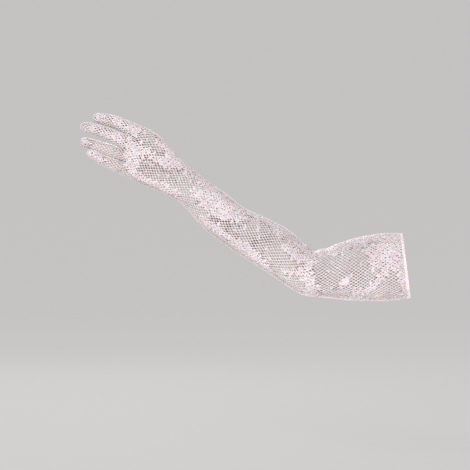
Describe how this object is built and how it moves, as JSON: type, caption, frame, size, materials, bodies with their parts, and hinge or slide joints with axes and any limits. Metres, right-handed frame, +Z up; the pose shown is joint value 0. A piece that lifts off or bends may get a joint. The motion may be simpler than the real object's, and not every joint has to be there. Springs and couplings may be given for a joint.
{
  "type": "lace opera glove",
  "caption": "Long stretch-lace dress glove for a left hand, kept in its worn, slightly bent form, with a hemmed cuff above the elbow and a seam round each finger.",
  "frame": {"origin": "middle of the cuff's opening, where the arm goes in", "axes": "+X out of the cuff along the upper arm, +Z up as the glove is seen with its fingers fanned to the left, +Y from the back of the hand to its palm"},
  "size_m": [0.5036, 0.1515, 0.2863],
  "materials": {
    "lace": "openwork lace, slightly glossy thread",
    "seam_thread": "overlocked thread",
    "hem": "turned and stitched edge"
  },
  "bodies": {
    "root": {"back_panel": "lace", "palm_panel": "lace", "side_seam": "seam_thread", "cuff_hem": "hem"}
  },
  "joints": []
}
